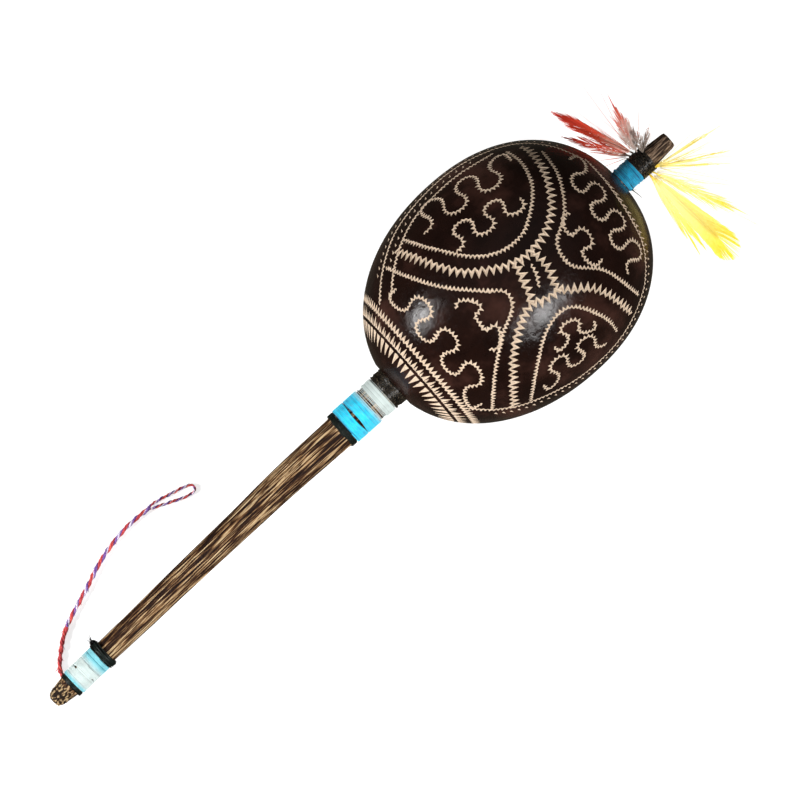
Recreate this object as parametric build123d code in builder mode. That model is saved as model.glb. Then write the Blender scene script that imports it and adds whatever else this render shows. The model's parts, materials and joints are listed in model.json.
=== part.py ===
from build123d import *

import os
from math import acos, asin, cos, degrees, pi, radians, sin, sqrt, tan

# A gourd rattle (one maraca) on a palm-wood stick, lying on a flat surface. Millimetres.
# +Z is up and z = 0 is the surface that it lies on. The stick points along +X, the wrist cord's
# end first. Stations are distances along the stick's axis from its tail tip.

# --- how it lies ---
tail_tip_x = -173.15  # these two put the origin under the middle of the rattle's own box
tail_tip_y = 3.2
handle_yaw = 0.4  # heading of the handle in the horizontal plane, degrees
head_yaw = -1.75  # the natural stick turns by about two degrees below the gourd
bend_start = 115.2
bend_end = 155.2

# --- palm-wood stick ---
stick_length = 332.4
tail_band_start = 9.2  # the windings at the tail, below the gourd and at the crown
tail_band_end = 29.2
neck_band_start = 156.4
neck_band_end = 185.0
crown_band_start = 306.4
crown_band_end = 321.2
tail_seat_radius = 5.0  # the stick's radius under the tail's windings
neck_seat_radius = 7.1
crown_seat_radius = 4.5
peg_tip_radius = 3.5
tail_cone = [(0, 2.7), (1.2, 3.4), (3.0, 4.0), (6.6, 4.9), (7.3, 4.2), (8.0, 4.2), (8.4, 4.9), (9.0, 4.9)]
handle_swell = [(29.6, 5.15), (47.6, 5.25), (86.0, 5.75), (105.2, 6.05)]  # station, radius
bend_radii = [(115.2, 6.3), (128.5, 6.65), (141.9, 6.9), (155.2, 7.05)]
gourd_entry = 190.0  # the stick thins from here to the crown
crown_seat_start = 300.0

# --- gourd ---
gourd_station = 248.4  # the widest section
gourd_radius = 49.9
gourd_neck_reach = 64.6  # half length towards the handle
gourd_crown_reach = 58.0
neck_roundness = 2.1  # exponents of the two superellipses that make the outline
crown_roundness = 2.2
neck_flat = 63.4  # the base of the gourd is pressed flat here
gourd_wall = 3.0
hole_clearance = 0.25

# --- windings: station of each end, inner and outer radius ---
tail_thread_radius = 5.7
tail_cord_radius = 6.15
neck_thread_radius = 8.2
crown_thread_radius = 5.3
crown_cord_radius = 5.4
tail_cord_start = 25.6
crown_cord_start = 314.2
bands = {
    "tail_winding_black_lower": (tail_band_start, 11.2, tail_seat_radius, 5.6),
    "tail_winding_cyan_lower": (11.2, 13.2, tail_seat_radius, tail_thread_radius),
    "tail_winding_white": (13.2, 20.4, tail_seat_radius, tail_thread_radius),
    "tail_winding_cyan_upper": (20.4, tail_cord_start, tail_seat_radius, tail_thread_radius),
    "tail_winding_black_upper": (tail_cord_start, tail_band_end, tail_seat_radius, tail_cord_radius),
    "neck_resin_band": (neck_band_start, 159.4, neck_seat_radius, 7.9),
    "neck_winding_blue": (159.4, 172.0, neck_seat_radius, neck_thread_radius),
    "neck_winding_fine": (172.0, 176.4, neck_seat_radius, 7.7),
    "neck_winding_white": (176.4, 179.7, neck_seat_radius, neck_thread_radius),
    "neck_winding_black": (179.7, neck_band_end, neck_seat_radius, neck_thread_radius),
    "crown_thread_tangle": (crown_band_start, 308.4, crown_seat_radius, 5.6),
    "crown_winding_blue": (308.4, crown_cord_start, crown_seat_radius, crown_thread_radius),
}
band_edge_round = 0.25

# --- knot and loose thread end ---
knot_radius = 1.6
knot_station = 27.6
knot_around = 20.0  # degrees round the stick, from the +Y side upwards
loose_end_station = 307.6
loose_end_radius = 0.3
loose_end_length = 6.0

# --- feathers ---
# Each: root station, degrees round the stick from the +Y side upwards, tip of the main plume seen from
# the tail tip (x, y) with its height above the surface, and its plumes, each with the degrees to the left
# of the main one, its length and its half width.
feathers = {
    "feather_red_long": (317.8, 20, (296.6, 31.8, 79), [(0, 35.8, 2.5)]),
    "feather_red_low": (316.4, -5, (295.7, 23.1, 66), [(0, 27.8, 1.7)]),
    "feather_red_upright": (319.0, 42, (316.5, 20.8, 80), [(0, 24.0, 2.4)]),
    "feather_grey_tuft": (320.4, 68, (323.1, 3.0, 78), [(0, 13.5, 0.8), (38, 9.5, 0.7)]),
    "feather_yellow_broad": (317.2, 207, (321, -55.4, 50), [(0, 46.5, 5.6), (-17, 38, 1.2), (-10, 38, 1.4)]),
    "feather_yellow_mid": (318.6, 185, (331.9, -46.6, 60), [(0, 39.5, 2.2)]),
    "feather_yellow_wispy": (320.5, 160, (340.3, -24.8, 72), [(0, 29.5, 1), (-9, 32, 0.8), (22, 33.5, 0.8)]),
}
feather_thickness = 0.8
quill_half_width = 0.45
quill_hole_radius = 0.9
quill_depth = 0.35  # how far the quill reaches back into the black turns

# --- seeds: places (x, y) from the point of the shell that the gourd lies on ---
seed_radius = 3.0
seed_gap = 0.3
seed_places = [
    (-9.9, 0), (-3.3, 0), (3.3, 0), (9.9, 0),
    (-6.6, 5.8), (0, 5.8), (6.6, 5.8),
    (-6.6, -5.8), (0, -5.8), (6.6, -5.8),
    (3.3, 11.6), (-3.3, -11.6),
]  # fmt: skip

# --- wrist cord: route points seen from the tail tip (x, y) with their height ---
cord_diameter = 2.0
cord_route = [
    (9.6, 4.95, 2.6), (9.9, 7.0, 1.6), (11.6, 10.0, 1.05), (15.3, 13.8, 1.05), (21.5, 19.0, 1.05),
    (30.5, 23.4, 1.05), (41.0, 27.2, 1.05), (51.5, 31.9, 1.05), (62.5, 34.9, 1.05),
    (73.5, 36.3, 1.05), (82.1, 35.6, 1.05),
]  # fmt: skip
loop_diameter = 1.4
loop_route = [
    (82.4, 36.35, 0.75), (86.5, 35.9, 0.75), (91.0, 34.8, 0.75), (97.2, 33.3, 0.75),
    (100.6, 32.2, 0.75), (101.3, 30.3, 0.75), (99.9, 28.8, 0.75), (96.9, 29.0, 0.75),
    (92.0, 30.9, 0.75), (87.0, 33.1, 0.75), (84.4, 34.25, 0.75), (82.4, 34.75, 0.75),
]  # fmt: skip

rattle = {}  # every finished piece by its name


# --- the gourd's outline ---
def outline_point(angle, inset=0.0):
    """Along and radius of the gourd's outline; angle runs from the neck pole to the crown pole."""
    towards_neck = angle < pi / 2
    reach = (gourd_neck_reach if towards_neck else gourd_crown_reach) - inset
    power = 2 / (neck_roundness if towards_neck else crown_roundness)
    along = -reach * abs(cos(angle)) ** power if towards_neck else reach * abs(cos(angle)) ** power
    return along, (gourd_radius - inset) * sin(angle) ** power


def gourd_drop(pitch):
    """Height of the gourd's middle above the surface when the stick climbs at this angle."""
    points = [outline_point(pi * step / 720) for step in range(721)]
    return max(radius * cos(pitch) - along * sin(pitch) for along, radius in points)


# The stick climbs from the lower edge of the tail's black turns to the gourd.
pitch = 0.19
for _ in range(8):
    rise = gourd_drop(pitch) - bands["tail_winding_black_lower"][3] * cos(pitch)
    pitch = asin(rise / (gourd_station - tail_band_start))
tail_tip = Vector(tail_tip_x, tail_tip_y, gourd_drop(pitch) - gourd_station * sin(pitch))


# --- the stick's axis ---
def axis_yaw(station):
    """Heading of the axis, in radians."""
    share = min(max((station - bend_start) / (bend_end - bend_start), 0), 1)
    return radians(handle_yaw + share * (head_yaw - handle_yaw))


def axis_direction(station):
    yaw = axis_yaw(station)
    return Vector(cos(pitch) * cos(yaw), cos(pitch) * sin(yaw), sin(pitch))


def axis_point(station):
    """Point of the axis: a straight handle, a gentle arc and a straight head."""
    point = tail_tip + axis_direction(0) * min(station, bend_start)
    if station > bend_start:
        turn_rate = radians(head_yaw - handle_yaw) / (bend_end - bend_start)
        arc_end = min(station, bend_end)
        before, after = axis_yaw(bend_start), axis_yaw(arc_end)
        point += Vector(
            cos(pitch) * (sin(after) - sin(before)) / turn_rate,
            cos(pitch) * (cos(before) - cos(after)) / turn_rate,
            sin(pitch) * (arc_end - bend_start),
        )
    if station > bend_end:
        point += axis_direction(station) * (station - bend_end)
    return point


def side_direction(station):
    """Horizontal direction across the stick, towards +Y."""
    yaw = axis_yaw(station)
    return Vector(-sin(yaw), cos(yaw), 0)


def cross_plane(station):
    """Plane across the stick: its x runs sideways and its y upwards."""
    return Plane(origin=axis_point(station), x_dir=side_direction(station), z_dir=axis_direction(station))


def long_plane(station):
    """Upright plane through the axis: its x runs along the stick and its y upwards."""
    return Plane(origin=axis_point(station), x_dir=axis_direction(station), z_dir=-side_direction(station))


def round_the_stick(station, around, radius):
    """Point at this radius from the axis, around degrees from the +Y side upwards."""
    plane = cross_plane(station)
    out = plane.x_dir * cos(radians(around)) + plane.y_dir * sin(radians(around))
    return plane.origin + out * radius


def keep(name, builder):
    builder.part.label = name
    rattle[name] = builder.part


# --- the palm-wood stick, one piece from the carved tail through the gourd to the peg ---
def turned(first_station, profile):
    """Revolves a (station, radius) profile about the straight run of axis that starts at first_station."""
    outline = [(station - first_station, radius) for station, radius in profile]
    with BuildSketch(long_plane(first_station)) as profile_face:
        with BuildLine():
            Polyline([(outline[0][0], 0), *outline, (outline[-1][0], 0)], close=True)
        make_face()
    revolve(profile_face.sketch, axis=Axis(axis_point(first_station), axis_direction(first_station)))


with BuildPart() as palm_stick:
    turned(
        0,
        [
            *tail_cone,
            (9.1, tail_seat_radius),
            (tail_band_end, tail_seat_radius),
            *handle_swell,
            bend_radii[0],
        ],
    )
    for section, radius in bend_radii:
        with BuildSketch(cross_plane(section)):
            Circle(radius)
    loft(ruled=True)
    turned(
        bend_end,
        [
            bend_radii[-1],
            (neck_band_start, neck_seat_radius),
            (gourd_entry, neck_seat_radius),
            (crown_seat_start, crown_seat_radius),
            (crown_band_end, crown_seat_radius),
            (stick_length - 0.6, peg_tip_radius),
            (stick_length, peg_tip_radius - 0.5),
        ],
    )
keep("palm_stick", palm_stick)


# --- the gourd shell, hollow, with a flat base and a hole for the stick at each end ---
def outline_curve(first_angle, last_angle, inset=0.0):
    """Points of the outline between two angles."""
    steps = 18
    step_angle = (last_angle - first_angle) / steps
    return [outline_point(first_angle + step_angle * step, inset) for step in range(steps + 1)]


def angle_at_radius(radius, inset, roundness):
    """Angle from the nearer pole at which the outline has this radius."""
    return asin((radius / (gourd_radius - inset)) ** (roundness / 2))


neck_hole = neck_seat_radius + hole_clearance
crown_hole = crown_seat_radius + hole_clearance
flat_angle = acos((neck_flat / gourd_neck_reach) ** (neck_roundness / 2))
outer_curve = outline_curve(flat_angle, pi - angle_at_radius(crown_hole, 0, crown_roundness))
inner_curve = outline_curve(
    angle_at_radius(neck_hole, gourd_wall, neck_roundness),
    pi - angle_at_radius(crown_hole, gourd_wall, crown_roundness),
    gourd_wall,
)
with BuildPart() as gourd_shell:
    with BuildSketch(long_plane(gourd_station)):
        with BuildLine():
            Spline(outer_curve)
            Spline(inner_curve)
            Polyline((inner_curve[0], (-neck_flat, neck_hole), outer_curve[0]))
            Line(outer_curve[-1], inner_curve[-1])
        make_face()
    revolve(axis=Axis(axis_point(gourd_station), axis_direction(gourd_station)))
keep("gourd_shell", gourd_shell)

# --- windings and bands, each a sleeve of many turns ---
for name, (start, end, inner, outer) in bands.items():
    with BuildPart() as band:
        with BuildSketch(cross_plane(start)):
            Circle(outer)
            Circle(inner, mode=Mode.SUBTRACT)
        extrude(amount=end - start)
        fillet(band.edges().group_by(SortBy.LENGTH)[-1], radius=band_edge_round)
    keep(name, band)

with BuildPart() as tail_knot:
    with Locations(round_the_stick(knot_station, knot_around, tail_cord_radius + knot_radius / 3)):
        Sphere(knot_radius)
    with BuildSketch(cross_plane(tail_cord_start)):
        Circle(tail_cord_radius)
    extrude(amount=2 * (tail_band_end - tail_cord_start), mode=Mode.SUBTRACT)
keep("tail_knot", tail_knot)

# The tangle's loose end sticks out on the -Y side, just off the gourd.
with BuildPart() as crown_thread_end:
    loose_start = round_the_stick(loose_end_station, 180, bands["crown_thread_tangle"][3])
    with BuildSketch(Plane(loose_start, z_dir=Vector(0.25, -1, -0.1))):
        Circle(loose_end_radius)
    extrude(amount=loose_end_length)
keep("crown_thread_end", crown_thread_end)


# --- feathers, each a thin blade with a quill that comes out of the crown's black turns ---
def plume(plane, length, half_width):
    """Outline of one plume along the plane's x, from its quill to its tip."""
    with BuildSketch(plane) as outline:
        with BuildLine():
            Spline(
                [
                    (-quill_depth, quill_half_width),
                    (0.2 * length, max(quill_half_width, 0.35 * half_width)),
                    (0.6 * length, half_width),
                    (0.92 * length, 0.55 * half_width),
                    (length, 0),
                ],
                tangents=[(1, 0), (0, -1)],
            )
            mirror(about=Plane.XZ)
            Line((-quill_depth, quill_half_width), (-quill_depth, -quill_half_width))
        make_face()
    return outline.sketch


feather_roots = {}
for name, (station, around, tip, plumes) in feathers.items():
    root = round_the_stick(station, around, crown_cord_radius)
    main_tip = Vector(tail_tip_x + tip[0], tail_tip_y + tip[1], tip[2])
    forward = (main_tip - root).normalized()
    leftward = Vector(0, 0, 1).cross(forward).normalized()
    feather_roots[name] = (root, forward, leftward)
    blade_plane = Plane(origin=root, x_dir=forward, z_dir=forward.cross(leftward))
    with BuildPart() as feather:
        for swing, length, half_width in plumes:
            outline = plume(blade_plane.rotated((0, 0, swing)), length, half_width)
            extrude(outline, amount=feather_thickness / 2, both=True)
    keep(name, feather)

# The black turns that hold the quills have a hole for each of them.
with BuildPart() as crown_winding_black:
    with BuildSketch(cross_plane(crown_cord_start)):
        Circle(crown_cord_radius)
        Circle(crown_seat_radius, mode=Mode.SUBTRACT)
    extrude(amount=crown_band_end - crown_cord_start)
    for root, forward, leftward in feather_roots.values():
        with BuildSketch(Plane(root, z_dir=forward)):
            Circle(quill_hole_radius)
        extrude(amount=crown_cord_radius - crown_seat_radius + 0.7, both=True, mode=Mode.SUBTRACT)
keep("crown_winding_black", crown_winding_black)


# --- seeds, one layer of loose balls at the bottom of the gourd ---
def cavity_heights(x, y):
    """Heights at which a seed at this place touches the cavity's floor and its roof."""
    middle = axis_point(gourd_station)
    inset = gourd_wall + seed_radius + seed_gap
    touching = []
    for towards in (-1, 1):
        inside, outside = middle.Z, middle.Z + towards * gourd_radius * 1.2
        for _ in range(40):
            height = (inside + outside) / 2
            local = Vector(x, y, height) - middle
            along = local.dot(axis_direction(gourd_station))
            across = sqrt(max(local.length**2 - along**2, 0))
            reach = (gourd_neck_reach if along < 0 else gourd_crown_reach) - inset
            power = neck_roundness if along < 0 else crown_roundness
            clear = (abs(along) / reach) ** power + (across / (gourd_radius - inset)) ** power < 1
            inside, outside = (height, outside) if clear else (inside, height)
        touching.append(inside)
    return touching


# The gourd lies on the point of its outline whose normal points straight down.
lowest_angle = max(
    (pi * step / 720 for step in range(721)),
    key=lambda angle: outline_point(angle)[1] * cos(pitch) - outline_point(angle)[0] * sin(pitch),
)
lowest_along, lowest_radius = outline_point(lowest_angle)
resting_point = (
    axis_point(gourd_station)
    + axis_direction(gourd_station) * lowest_along
    - long_plane(gourd_station).y_dir * lowest_radius
)


def seed_travel(x, y):
    """How far a seed at this place can rise, to the roof or to the stick's underside."""
    floor, roof = cavity_heights(x, y)
    station = gourd_station + (x - axis_point(gourd_station).X) / cos(pitch)
    thinning = (station - gourd_entry) / (crown_seat_start - gourd_entry)
    stick_radius = neck_seat_radius + thinning * (crown_seat_radius - neck_seat_radius)
    reach = (stick_radius + seed_radius + seed_gap) / cos(pitch)
    aside = y - axis_point(station).Y
    if abs(aside) >= reach:
        return floor, roof - floor
    return floor, axis_point(station).Z - sqrt(reach**2 - aside**2) / cos(pitch) - floor


seed_slides = {}
for number, (dx, dy) in enumerate(seed_places, start=1):
    name = f"seed_{number:02d}"
    x, y = resting_point.X + dx, resting_point.Y + dy
    floor, rise = seed_travel(x, y)
    seed_slides[name] = rise
    with BuildPart() as seed:
        with Locations((x, y, floor)):
            Sphere(seed_radius)
    keep(name, seed)


# --- wrist cord and its loop, lying on the surface ---
def bend_radii_of(points):
    """Radius of the arc at each inner point: 0.45 of the shorter run over the tangent of half the turn."""
    radii = []
    for before, here, after in zip(points, points[1:], points[2:]):
        arriving, leaving = here - before, after - here
        half_turn = radians(arriving.get_angle(leaving)) / 2
        radii.append(0.45 * min(arriving.length, leaving.length) / tan(half_turn))
    return radii


def cord_tube(name, route, diameter):
    """A round tube along straight runs joined by tangent arcs."""
    points = [Vector(tail_tip_x + x, tail_tip_y + y, height) for x, y, height in route]
    radii = bend_radii_of(points)
    with BuildPart() as tube:
        with BuildLine():
            path = FilletPolyline(points, radius=radii)
        with BuildSketch(Plane(path @ 0, z_dir=path % 0)):
            Circle(diameter / 2)
        sweep()
    keep(name, tube)
    expected = path.length * pi * diameter**2 / 4
    print(f"{name}: length {path.length:.1f}, volume over the expected one {tube.part.volume / expected:.4f}")
    print("  bend radii in diameters:", [round(radius / diameter, 1) for radius in radii])


cord_tube("wrist_cord", cord_route, cord_diameter)
cord_tube("wrist_loop", loop_route, loop_diameter)

# --- files ---
os.makedirs("parts", exist_ok=True)
for name, piece in rattle.items():
    export_step(piece, f"parts/{name}.step")

box = Compound([piece for name, piece in rattle.items() if not name.startswith("wrist")]).bounding_box()
print(f"lie angle {degrees(pitch):.2f} degrees, box {box.min} to {box.max}, middle {box.center()}")
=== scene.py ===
import json
import math

import bmesh
import bpy
import numpy as np
from mathutils import Matrix, Vector
from mathutils.geometry import delaunay_2d_cdt
from mathutils.kdtree import KDTree


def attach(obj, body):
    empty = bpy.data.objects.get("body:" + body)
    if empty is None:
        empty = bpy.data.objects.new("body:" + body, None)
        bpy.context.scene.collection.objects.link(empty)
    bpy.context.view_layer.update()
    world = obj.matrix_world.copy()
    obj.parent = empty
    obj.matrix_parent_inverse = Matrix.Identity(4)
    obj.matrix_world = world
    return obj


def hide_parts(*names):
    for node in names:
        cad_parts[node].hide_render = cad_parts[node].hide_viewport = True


# The looks of a gourd rattle that lies on its side. Lengths are in millimetres until a mesh is
# made, and stations are distances along the stick's axis from its tail tip, as in the CAD model.

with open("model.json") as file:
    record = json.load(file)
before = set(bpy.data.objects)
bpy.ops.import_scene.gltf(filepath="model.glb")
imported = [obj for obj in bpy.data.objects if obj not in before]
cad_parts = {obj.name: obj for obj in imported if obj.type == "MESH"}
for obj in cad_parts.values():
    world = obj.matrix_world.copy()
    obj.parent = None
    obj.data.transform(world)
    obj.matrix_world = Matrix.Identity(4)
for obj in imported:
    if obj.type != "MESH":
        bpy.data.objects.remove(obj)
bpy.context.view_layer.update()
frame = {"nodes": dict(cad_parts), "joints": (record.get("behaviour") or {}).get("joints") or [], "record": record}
MM = 0.001
TURN = 2 * math.pi
UP = np.array([0, 0, 1.0])
chance = np.random.default_rng(7)
record = frame["record"]

# --- sizes repeated from the CAD model ---
BEND_START = 115.2
BEND_END = 155.2
GRIP_STATION = 95.0  # station of the record's handle_grip mount
NECK_MOUNT_STATION = 165.7  # station of its neck_band mount
GOURD_STATION = 248.4
GOURD_RADIUS = 49.9
NECK_REACH = 64.6
CROWN_REACH = 58.0
NECK_ROUNDNESS = 2.1
CROWN_ROUNDNESS = 2.2
NECK_FLAT = 63.4
GOURD_WALL = 3.0
NECK_HOLE = 7.35
CROWN_HOLE = 4.75
# Inner radius of the windings at the tail, at the neck and at the crown, just inside the wood.
TAIL_BORE, NECK_BORE, CROWN_BORE = 4.9, 7.1, 4.4
RESIN_BORE = 7.0


# --- lines and directions ---
def circle(angle, first, second):
    """Directions at an angle from first towards second."""
    angle = np.asarray(angle)[..., None]
    return np.cos(angle) * first + np.sin(angle) * second


def unit(vectors):
    return vectors / np.linalg.norm(vectors, axis=-1, keepdims=True)


def tangents_of(points):
    return unit(np.gradient(points, axis=0))


def distances(points):
    """Distance of each of a line's points from its start, along the line."""
    return np.concatenate([[0], np.cumsum(np.linalg.norm(np.diff(points, axis=0), axis=1))])


def line_length(points):
    return np.linalg.norm(np.diff(points, axis=0), axis=1).sum()


def sampled(points, places, wanted):
    """Each column of points, known at places, at the wanted places."""
    return np.column_stack([np.interp(wanted, places, column) for column in points.T])


def spaced(points, count):
    """The same line with count + 1 points at equal distances."""
    places = distances(points)
    return sampled(points, places, np.linspace(0, places[-1], count + 1))


def wrapped(angle):
    """The same angle between minus and plus half a turn."""
    return (angle + math.pi) % TURN - math.pi


# --- the stick's axis ---
def mount(name):
    """Place in millimetres and axis of one of the record's mounts."""
    found = next(m for m in record["mounts"] if m["name"] == name)
    return np.array(found["pos_m"]) / MM, np.array(found["axis"])


grip_place, grip_axis = mount("handle_grip")
neck_place, neck_axis = mount("neck_band")
PITCH = math.asin(-grip_axis[2])
HANDLE_YAW = math.atan2(-grip_axis[1], -grip_axis[0])
HEAD_YAW = math.atan2(-neck_axis[1], -neck_axis[0])


def axis_frame(station):
    """Point of the axis, and its directions along, sideways (towards +Y) and up."""
    rate = (HEAD_YAW - HANDLE_YAW) / (BEND_END - BEND_START)
    yaw = HANDLE_YAW + rate * (min(max(station, BEND_START), BEND_END) - BEND_START)
    level, climb = math.cos(PITCH), math.sin(PITCH)
    along = np.array([level * math.cos(yaw), level * math.sin(yaw), climb])
    side = np.array([-math.sin(yaw), math.cos(yaw), 0.0])
    if station > BEND_END:
        place = neck_place + along * (station - NECK_MOUNT_STATION)
    else:
        place = grip_place - grip_axis * (min(station, BEND_START) - GRIP_STATION)
    if BEND_START < station <= BEND_END:
        place = place + np.array([
            level * (math.sin(yaw) - math.sin(HANDLE_YAW)) / rate,
            level * (math.cos(HANDLE_YAW) - math.cos(yaw)) / rate,
            climb * (station - BEND_START),
        ])
    return place, along, side, np.cross(along, side)


def round_stick(station, around, radius):
    """Points round the stick; around is in radians from the +Y side upwards."""
    place, _, side, up = axis_frame(station)
    return place + np.asarray(radius)[..., None] * circle(around, side, up)


# --- camera ---
CAMERA_ELEVATION = math.radians(72)
CAMERA_HEADING = math.radians(42.15)  # the stick's heading in the picture, seen from above
CAMERA_DISTANCE = 1800.0
CAMERA_TARGET = np.array([8.0, -2.0, 30.0])
FIELD = 320.0  # width of the view at the target
SENSOR = 36.0

view_right = np.array([math.cos(CAMERA_HEADING), -math.sin(CAMERA_HEADING), 0.0])
view_ahead = np.array([math.sin(CAMERA_HEADING), math.cos(CAMERA_HEADING), 0.0])
to_camera = circle(CAMERA_ELEVATION, -view_ahead, UP)
view_up = np.cross(to_camera, view_right)


def add_object(name, data):
    made = bpy.data.objects.new(name, data)
    bpy.context.collection.objects.link(made)
    return made


def make_camera():
    data = bpy.data.cameras.new("camera")
    data.sensor_width = SENSOR
    data.lens = SENSOR * CAMERA_DISTANCE / FIELD
    data.clip_start, data.clip_end = 0.05, 20
    camera = add_object("camera", data)
    camera.location = Vector((CAMERA_TARGET + to_camera * CAMERA_DISTANCE) * MM)
    turn = Matrix(np.column_stack([view_right, view_up, to_camera]).tolist())
    camera.rotation_euler = turn.to_euler()
    bpy.context.scene.camera = camera


make_camera()


# --- material helpers ---
def new_material(name):
    """A node material with only its output, and its tree."""
    material = bpy.data.materials.new(name)
    material.use_nodes = True
    tree = material.node_tree
    tree.nodes.clear()
    return material, tree


def node(tree, kind, sockets=None, **settings):
    """Adds a node; each socket takes a value or another node's output."""
    made = tree.nodes.new(kind)
    for key, value in settings.items():
        setattr(made, key, value)
    for key, value in (sockets or {}).items():
        if isinstance(value, bpy.types.NodeSocket):
            tree.links.new(value, made.inputs[key])
        else:
            made.inputs[key].default_value = value
    return made


def surface(tree, **sockets):
    """The material's Principled shader, joined to its output."""
    names = {key.replace("_", " "): value for key, value in sockets.items()}
    shader = node(tree, "ShaderNodeBsdfPrincipled", names)
    node(tree, "ShaderNodeOutputMaterial", {"Surface": shader.outputs[0]})
    return shader


def ramp(tree, factor, *stops):
    """A colour ramp's output; each stop is (position, red, green, blue)."""
    made = node(tree, "ShaderNodeValToRGB", {"Fac": factor})
    elements = made.color_ramp.elements
    while len(elements) < len(stops):
        elements.new(0.5)
    for element, (position, *colour) in zip(elements, stops):
        element.position = position
        element.color = (*colour, 1)
    return made.outputs["Color"]


def noise(tree, vector, scale, detail=3.0, roughness=0.5):
    sockets = {"Vector": vector, "Scale": scale, "Detail": detail, "Roughness": roughness}
    return node(tree, "ShaderNodeTexNoise", sockets).outputs["Fac"]


def maths(tree, operation, first, second=0.0):
    return node(tree, "ShaderNodeMath", {0: first, 1: second}, operation=operation).outputs[0]


def weighted(tree, *terms):
    """Sum of outputs, each given with its weight."""
    parts = [maths(tree, "MULTIPLY", value, weight) for value, weight in terms]
    total = parts[0]
    for part in parts[1:]:
        total = maths(tree, "ADD", total, part)
    return total


def mixed(tree, factor, first, second, blend="MIX"):
    """Mix of two colours; each is a tuple or an output."""
    made = node(tree, "ShaderNodeMix", {"Factor": factor}, data_type="RGBA", blend_type=blend)
    for socket, value in ((made.inputs[6], first), (made.inputs[7], second)):
        if isinstance(value, bpy.types.NodeSocket):
            tree.links.new(value, socket)
        else:
            socket.default_value = (*value, 1)
    return made.outputs[2]


def bump(tree, height, strength, distance_mm, normal=None):
    sockets = {"Height": height, "Strength": strength, "Distance": distance_mm * MM}
    if normal is not None:
        sockets["Normal"] = normal
    return node(tree, "ShaderNodeBump", sockets).outputs["Normal"]


def place_mm(tree):
    """Position on the piece at rest, in millimetres."""
    place = node(tree, "ShaderNodeTexCoord").outputs["Object"]
    made = node(tree, "ShaderNodeVectorMath", {0: place, "Scale": 1 / MM}, operation="SCALE")
    return made.outputs["Vector"]


def attribute(tree, name, output="Fac"):
    return node(tree, "ShaderNodeAttribute", attribute_name=name).outputs[output]


# --- mesh helpers ---
def new_piece(name, stands_for, points, faces, materials, body="root", attributes=None, picks=None):
    """The mesh object that stands for a CAD node; points are in millimetres, and attributes are one
    number or vector for each of them."""
    mesh = bpy.data.meshes.new(name)
    mesh.from_pydata([tuple(p) for p in np.asarray(points) * MM], [], [tuple(f) for f in faces])
    for key, values in (attributes or {}).items():
        values = np.asarray(values, np.float32)
        kind = "FLOAT" if values.ndim == 1 else "FLOAT_VECTOR"
        layer = mesh.attributes.new(key, kind, "POINT")
        layer.data.foreach_set("value" if kind == "FLOAT" else "vector", values.ravel())
    for material in materials:
        mesh.materials.append(material)
    if picks is not None:
        mesh.polygons.foreach_set("material_index", np.asarray(picks, np.int32))
    mesh.polygons.foreach_set("use_smooth", np.full(len(mesh.polygons), True))
    mesh.update()
    made = add_object(name, mesh)
    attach(made, body)
    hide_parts(stands_for)
    return made


def grid_faces(rows, columns, closed_rows=False, offset=0):
    """Quads of a rows by columns grid whose columns close into rings."""
    index = offset + np.arange(rows * columns).reshape(rows, columns)
    if closed_rows:
        index = np.vstack([index, index[:1]])
    following = np.roll(index, -1, axis=1)
    quads = np.stack([index[:-1], following[:-1], following[1:], index[1:]], axis=-1)
    return quads.reshape(-1, 4).tolist()


# --- the gourd: a superellipse turned about the stick ---
gourd_place, gourd_along, _, _ = axis_frame(GOURD_STATION)
facing = unit(to_camera - gourd_along * (to_camera @ gourd_along))
aside = np.cross(gourd_along, facing)  # across the picture, towards the yellow feathers


def outline(angle, inset=0.0):
    """Along and radius of the gourd's outline; angle runs from the neck pole to the crown pole."""
    towards_neck = angle < math.pi / 2
    reach = np.where(towards_neck, NECK_REACH, CROWN_REACH) - inset
    power = 2 / np.where(towards_neck, NECK_ROUNDNESS, CROWN_ROUNDNESS)
    along = np.where(towards_neck, -1, 1) * reach * np.abs(np.cos(angle)) ** power
    return along, (GOURD_RADIUS - inset) * np.sin(angle) ** power


def angle_at_radius(radius, inset, roundness):
    return math.asin((radius / (GOURD_RADIUS - inset)) ** (roundness / 2))


flat_angle = math.acos((NECK_FLAT / NECK_REACH) ** (NECK_ROUNDNESS / 2))
top_angle = math.pi - angle_at_radius(CROWN_HOLE, 0, CROWN_ROUNDNESS)
outline_along, outline_radius = outline(np.linspace(flat_angle, top_angle, 1500))
outline_arc = distances(np.column_stack([outline_along, outline_radius]))
slope_along = np.gradient(outline_along, outline_arc)
slope_radius = np.gradient(outline_radius, outline_arc)
SEAM = -math.pi / 2  # the skin's seam lies between the two engraved panels


def skin_radius(along):
    return np.interp(along, outline_along, outline_radius)


def skin_points(along, around, depth=0.0):
    """Points of the gourd's outside, depth below it; around is in radians from the side that faces up."""
    along = np.asarray(along, float)
    out = circle(around, facing, aside)
    surface_point = gourd_place + along[..., None] * gourd_along + skin_radius(along)[..., None] * out
    return surface_point - skin_normals(along, around) * np.asarray(depth)[..., None]


def skin_normals(along, around):
    rise = np.interp(along, outline_along, slope_along)[..., None]
    spread = np.interp(along, outline_along, slope_radius)[..., None]
    return rise * circle(around, facing, aside) - spread * gourd_along


def skin_place(points):
    """Along and around of points near the gourd's outside."""
    local = np.asarray(points) - gourd_place
    around = np.arctan2(local @ aside, local @ facing)
    return local @ gourd_along, np.where(around < SEAM, around + TURN, around)


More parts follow.
